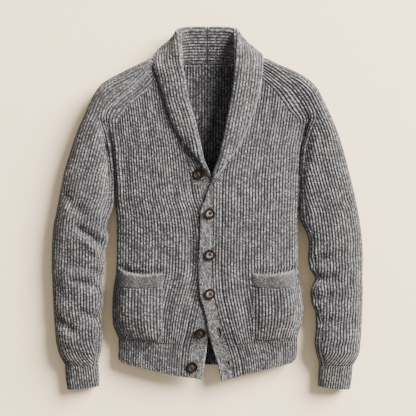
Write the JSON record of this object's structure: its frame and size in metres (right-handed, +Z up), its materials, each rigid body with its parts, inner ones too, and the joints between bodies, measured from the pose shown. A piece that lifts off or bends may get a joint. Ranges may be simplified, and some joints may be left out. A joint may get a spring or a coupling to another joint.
{
  "type": "shawl collar cardigan",
  "caption": "Long-sleeved shawl collar cardigan in marled grey ribbed knit, laid face up and buttoned at the middle, with raglan sleeves, patch pockets, ribbed hem and cuffs.",
  "frame": {"origin": "centre of the garment's outline on the surface it lies on, under the back", "axes": "+Y from hem to collar, +Z up out of the surface through the fronts, +X towards the wearer's left side (right in a view from above)"},
  "size_m": [0.6557, 0.7647, 0.0688],
  "materials": {
    "wool_body": "marled grey wool yarn knitted in ribs, matt and slightly hairy",
    "wool_trim": "the same yarn in a firmer rib, matt",
    "horn": "dark brown horn effect, polished rim and duller dish"
  },
  "bodies": {
    "root": {"back_panel": "wool_body", "hem_back": "wool_trim", "front_right": "wool_body", "hem_front_right": "wool_trim", "sleeve_right": "wool_body", "cuff_right": "wool_trim", "collar_right": "wool_trim", "band_right": "wool_trim", "pocket_right": "wool_body", "pocket_rib_right": "wool_trim", "front_left": "wool_body", "hem_front_left": "wool_trim", "sleeve_left": "wool_body", "cuff_left": "wool_trim", "collar_left": "wool_trim", "band_left": "wool_trim", "pocket_left": "wool_body", "pocket_rib_left": "wool_trim", "button_1": "horn", "button_2": "horn", "button_3": "horn", "button_4": "horn", "button_5": "horn", "button_6": "horn"}
  },
  "joints": []
}
